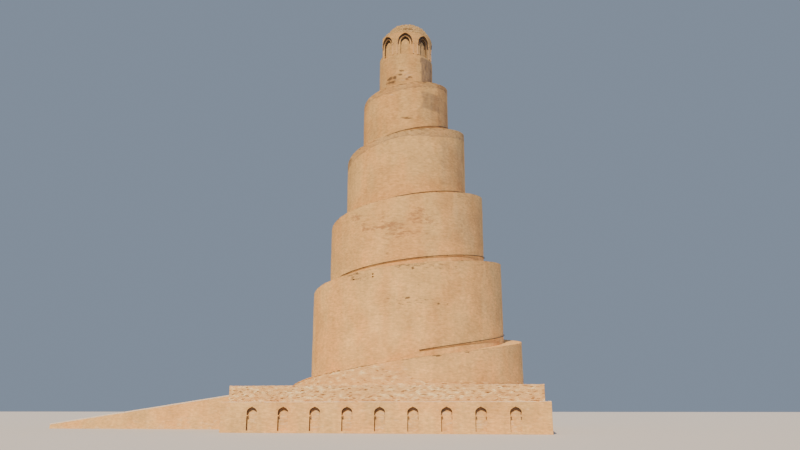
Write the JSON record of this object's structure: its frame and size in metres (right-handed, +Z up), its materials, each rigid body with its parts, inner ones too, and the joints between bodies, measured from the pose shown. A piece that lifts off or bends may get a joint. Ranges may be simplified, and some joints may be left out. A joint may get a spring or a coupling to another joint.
{
  "type": "spiral brick minaret, 1:10 scale model",
  "caption": "Round brick tower with an outside spiral ramp, on a two-tiered square socle with blind niches, with an arcaded drum on top and an approach ramp.",
  "frame": {"origin": "on the ground at the tower's axis, in the middle of the square socle's underside", "axes": "+Z up; the front, which the picture shows, faces -Y; the approach ramp runs out towards -X"},
  "size_m": [6.0249, 3.2998, 5.253],
  "materials": {
    "brick": "sun-baked tan brick in fine courses with flush mud-coloured joints, dusty and matt",
    "pale_brick": "weathered, whitish brick with open joints and worn faces",
    "dressing": "pale worn coping slabs",
    "rail_steel": "dark brown painted steel pipe, slightly rusty"
  },
  "bodies": {
    "root": {"lower_tier_front_wall": "brick", "lower_tier_back_wall": "brick", "lower_tier_right_wall": "brick", "lower_tier_left_wall_front": "brick", "lower_tier_left_wall_back": "brick", "lower_tier_fill": "brick", "upper_tier_front_wall": "pale_brick", "upper_tier_back_wall": "pale_brick", "upper_tier_left_wall": "pale_brick", "upper_tier_right_wall": "pale_brick", "terrace": "pale_brick", "approach_ramp": "brick", "approach_coping_front": "dressing", "approach_coping_back": "dressing", "turn_1_front": "brick", "turn_1_back": "brick", "turn_2_front": "brick", "turn_2_back": "brick", "turn_3_front": "brick", "turn_3_back": "brick", "turn_4_front": "brick", "turn_4_back": "brick", "turn_5_front": "brick", "turn_5_back": "brick", "turn_1_handrail": "rail_steel", "turn_2_handrail": "rail_steel", "turn_3_handrail": "rail_steel", "turn_4_handrail": "rail_steel", "turn_5_handrail": "rail_steel", "core": "brick", "drum": "brick", "room_floor": "brick", "crown_bay_1": "brick", "crown_bay_2": "brick", "crown_bay_3": "brick", "crown_bay_4": "brick", "crown_bay_6": "brick", "crown_bay_7": "brick", "crown_bay_8": "brick", "door_jamb_front": "brick", "door_jamb_back": "brick", "door_arch": "brick", "door_sill": "brick", "roof": "brick"}
  },
  "joints": []
}
